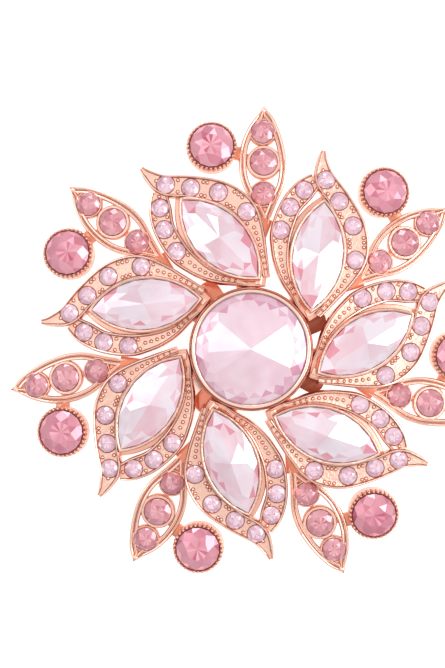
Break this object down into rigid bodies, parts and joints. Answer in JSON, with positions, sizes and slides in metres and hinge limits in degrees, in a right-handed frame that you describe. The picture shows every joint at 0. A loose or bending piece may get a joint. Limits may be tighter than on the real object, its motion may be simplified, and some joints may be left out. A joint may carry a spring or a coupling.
{
  "type": "cocktail ring",
  "caption": "Adjustable cocktail ring: a petalled flower of rose-gold castings set with pale pink crystals on an open band that fits round a finger.",
  "frame": {"origin": "centre of the finger hole, at the middle of the band's width", "axes": "+Z from the finger towards the flower's face, +Y along the finger, +X across the band towards its right shoulder"},
  "size_m": [0.0506, 0.051, 0.0271],
  "materials": {
    "petal_rose_gold": "polished rose-gold plate, bright rims over recessed floors",
    "leaf_rose_gold": "polished rose-gold plate",
    "crown_cup_rose_gold": "polished rose-gold plate with a beaded lip",
    "band_rose_gold": "polished rose-gold plate, slightly worn",
    "blush_rivoli": "foil-backed faceted crystal, very pale pink",
    "blush_marquise": "foil-backed faceted crystal, very pale pink",
    "blush_chaton": "foil-backed faceted crystal, pale lilac pink",
    "rose_chaton": "foil-backed faceted crystal, dusty rose",
    "rose_crown_stone": "foil-backed faceted crystal, rose pink"
  },
  "bodies": {
    "head": {"shank_saddle": "band_rose_gold", "base_plate": "petal_rose_gold", "centre_cup": "petal_rose_gold", "centre_stone": "blush_rivoli", "petal_casting_1": "petal_rose_gold", "petal_casting_2": "petal_rose_gold", "petal_casting_3": "petal_rose_gold", "petal_casting_4": "petal_rose_gold", "petal_casting_5": "petal_rose_gold", "petal_casting_6": "petal_rose_gold", "petal_casting_7": "petal_rose_gold", "marquise_stone_1": "blush_marquise", "marquise_stone_2": "blush_marquise", "marquise_stone_3": "blush_marquise", "marquise_stone_4": "blush_marquise", "marquise_stone_5": "blush_marquise", "marquise_stone_6": "blush_marquise", "marquise_stone_7": "blush_marquise", "petal_chatons_1": "blush_chaton", "petal_chatons_2": "blush_chaton", "petal_chatons_3": "blush_chaton", "petal_chatons_4": "blush_chaton", "petal_chatons_5": "blush_chaton", "petal_chatons_6": "blush_chaton", "petal_chatons_7": "blush_chaton", "leaf_casting_1": "leaf_rose_gold", "leaf_casting_2": "leaf_rose_gold", "leaf_casting_3": "leaf_rose_gold", "leaf_casting_4": "leaf_rose_gold", "leaf_casting_5": "leaf_rose_gold", "leaf_casting_6": "leaf_rose_gold", "leaf_casting_7": "leaf_rose_gold", "leaf_chatons_1": "rose_chaton", "leaf_chatons_2": "rose_chaton", "leaf_chatons_3": "rose_chaton", "leaf_chatons_4": "rose_chaton", "leaf_chatons_5": "rose_chaton", "leaf_chatons_6": "rose_chaton", "leaf_chatons_7": "rose_chaton", "crown_cup_1": "crown_cup_rose_gold", "crown_cup_2": "crown_cup_rose_gold", "crown_cup_3": "crown_cup_rose_gold", "crown_cup_4": "crown_cup_rose_gold", "crown_cup_5": "crown_cup_rose_gold", "crown_cup_6": "crown_cup_rose_gold", "crown_cup_7": "crown_cup_rose_gold", "crown_stone_1": "rose_crown_stone", "crown_stone_2": "rose_crown_stone", "crown_stone_3": "rose_crown_stone", "crown_stone_4": "rose_crown_stone", "crown_stone_5": "rose_crown_stone", "crown_stone_6": "rose_crown_stone", "crown_stone_7": "rose_crown_stone"},
    "arm_left": {"shank_arm_left": "band_rose_gold"},
    "arm_right": {"shank_arm_right": "band_rose_gold"}
  },
  "joints": [
    {"name": "flex_left", "type": "hinge", "parent": "head", "child": "arm_left", "pos_m": [-0.00627, 0, 0.00697], "axis": [0, 1, 0], "range_deg": [-5, 12]},
    {"name": "flex_right", "type": "hinge", "parent": "head", "child": "arm_right", "pos_m": [0.00627, 0, 0.00697], "axis": [0, -1, 0], "range_deg": [-5, 12]}
  ]
}
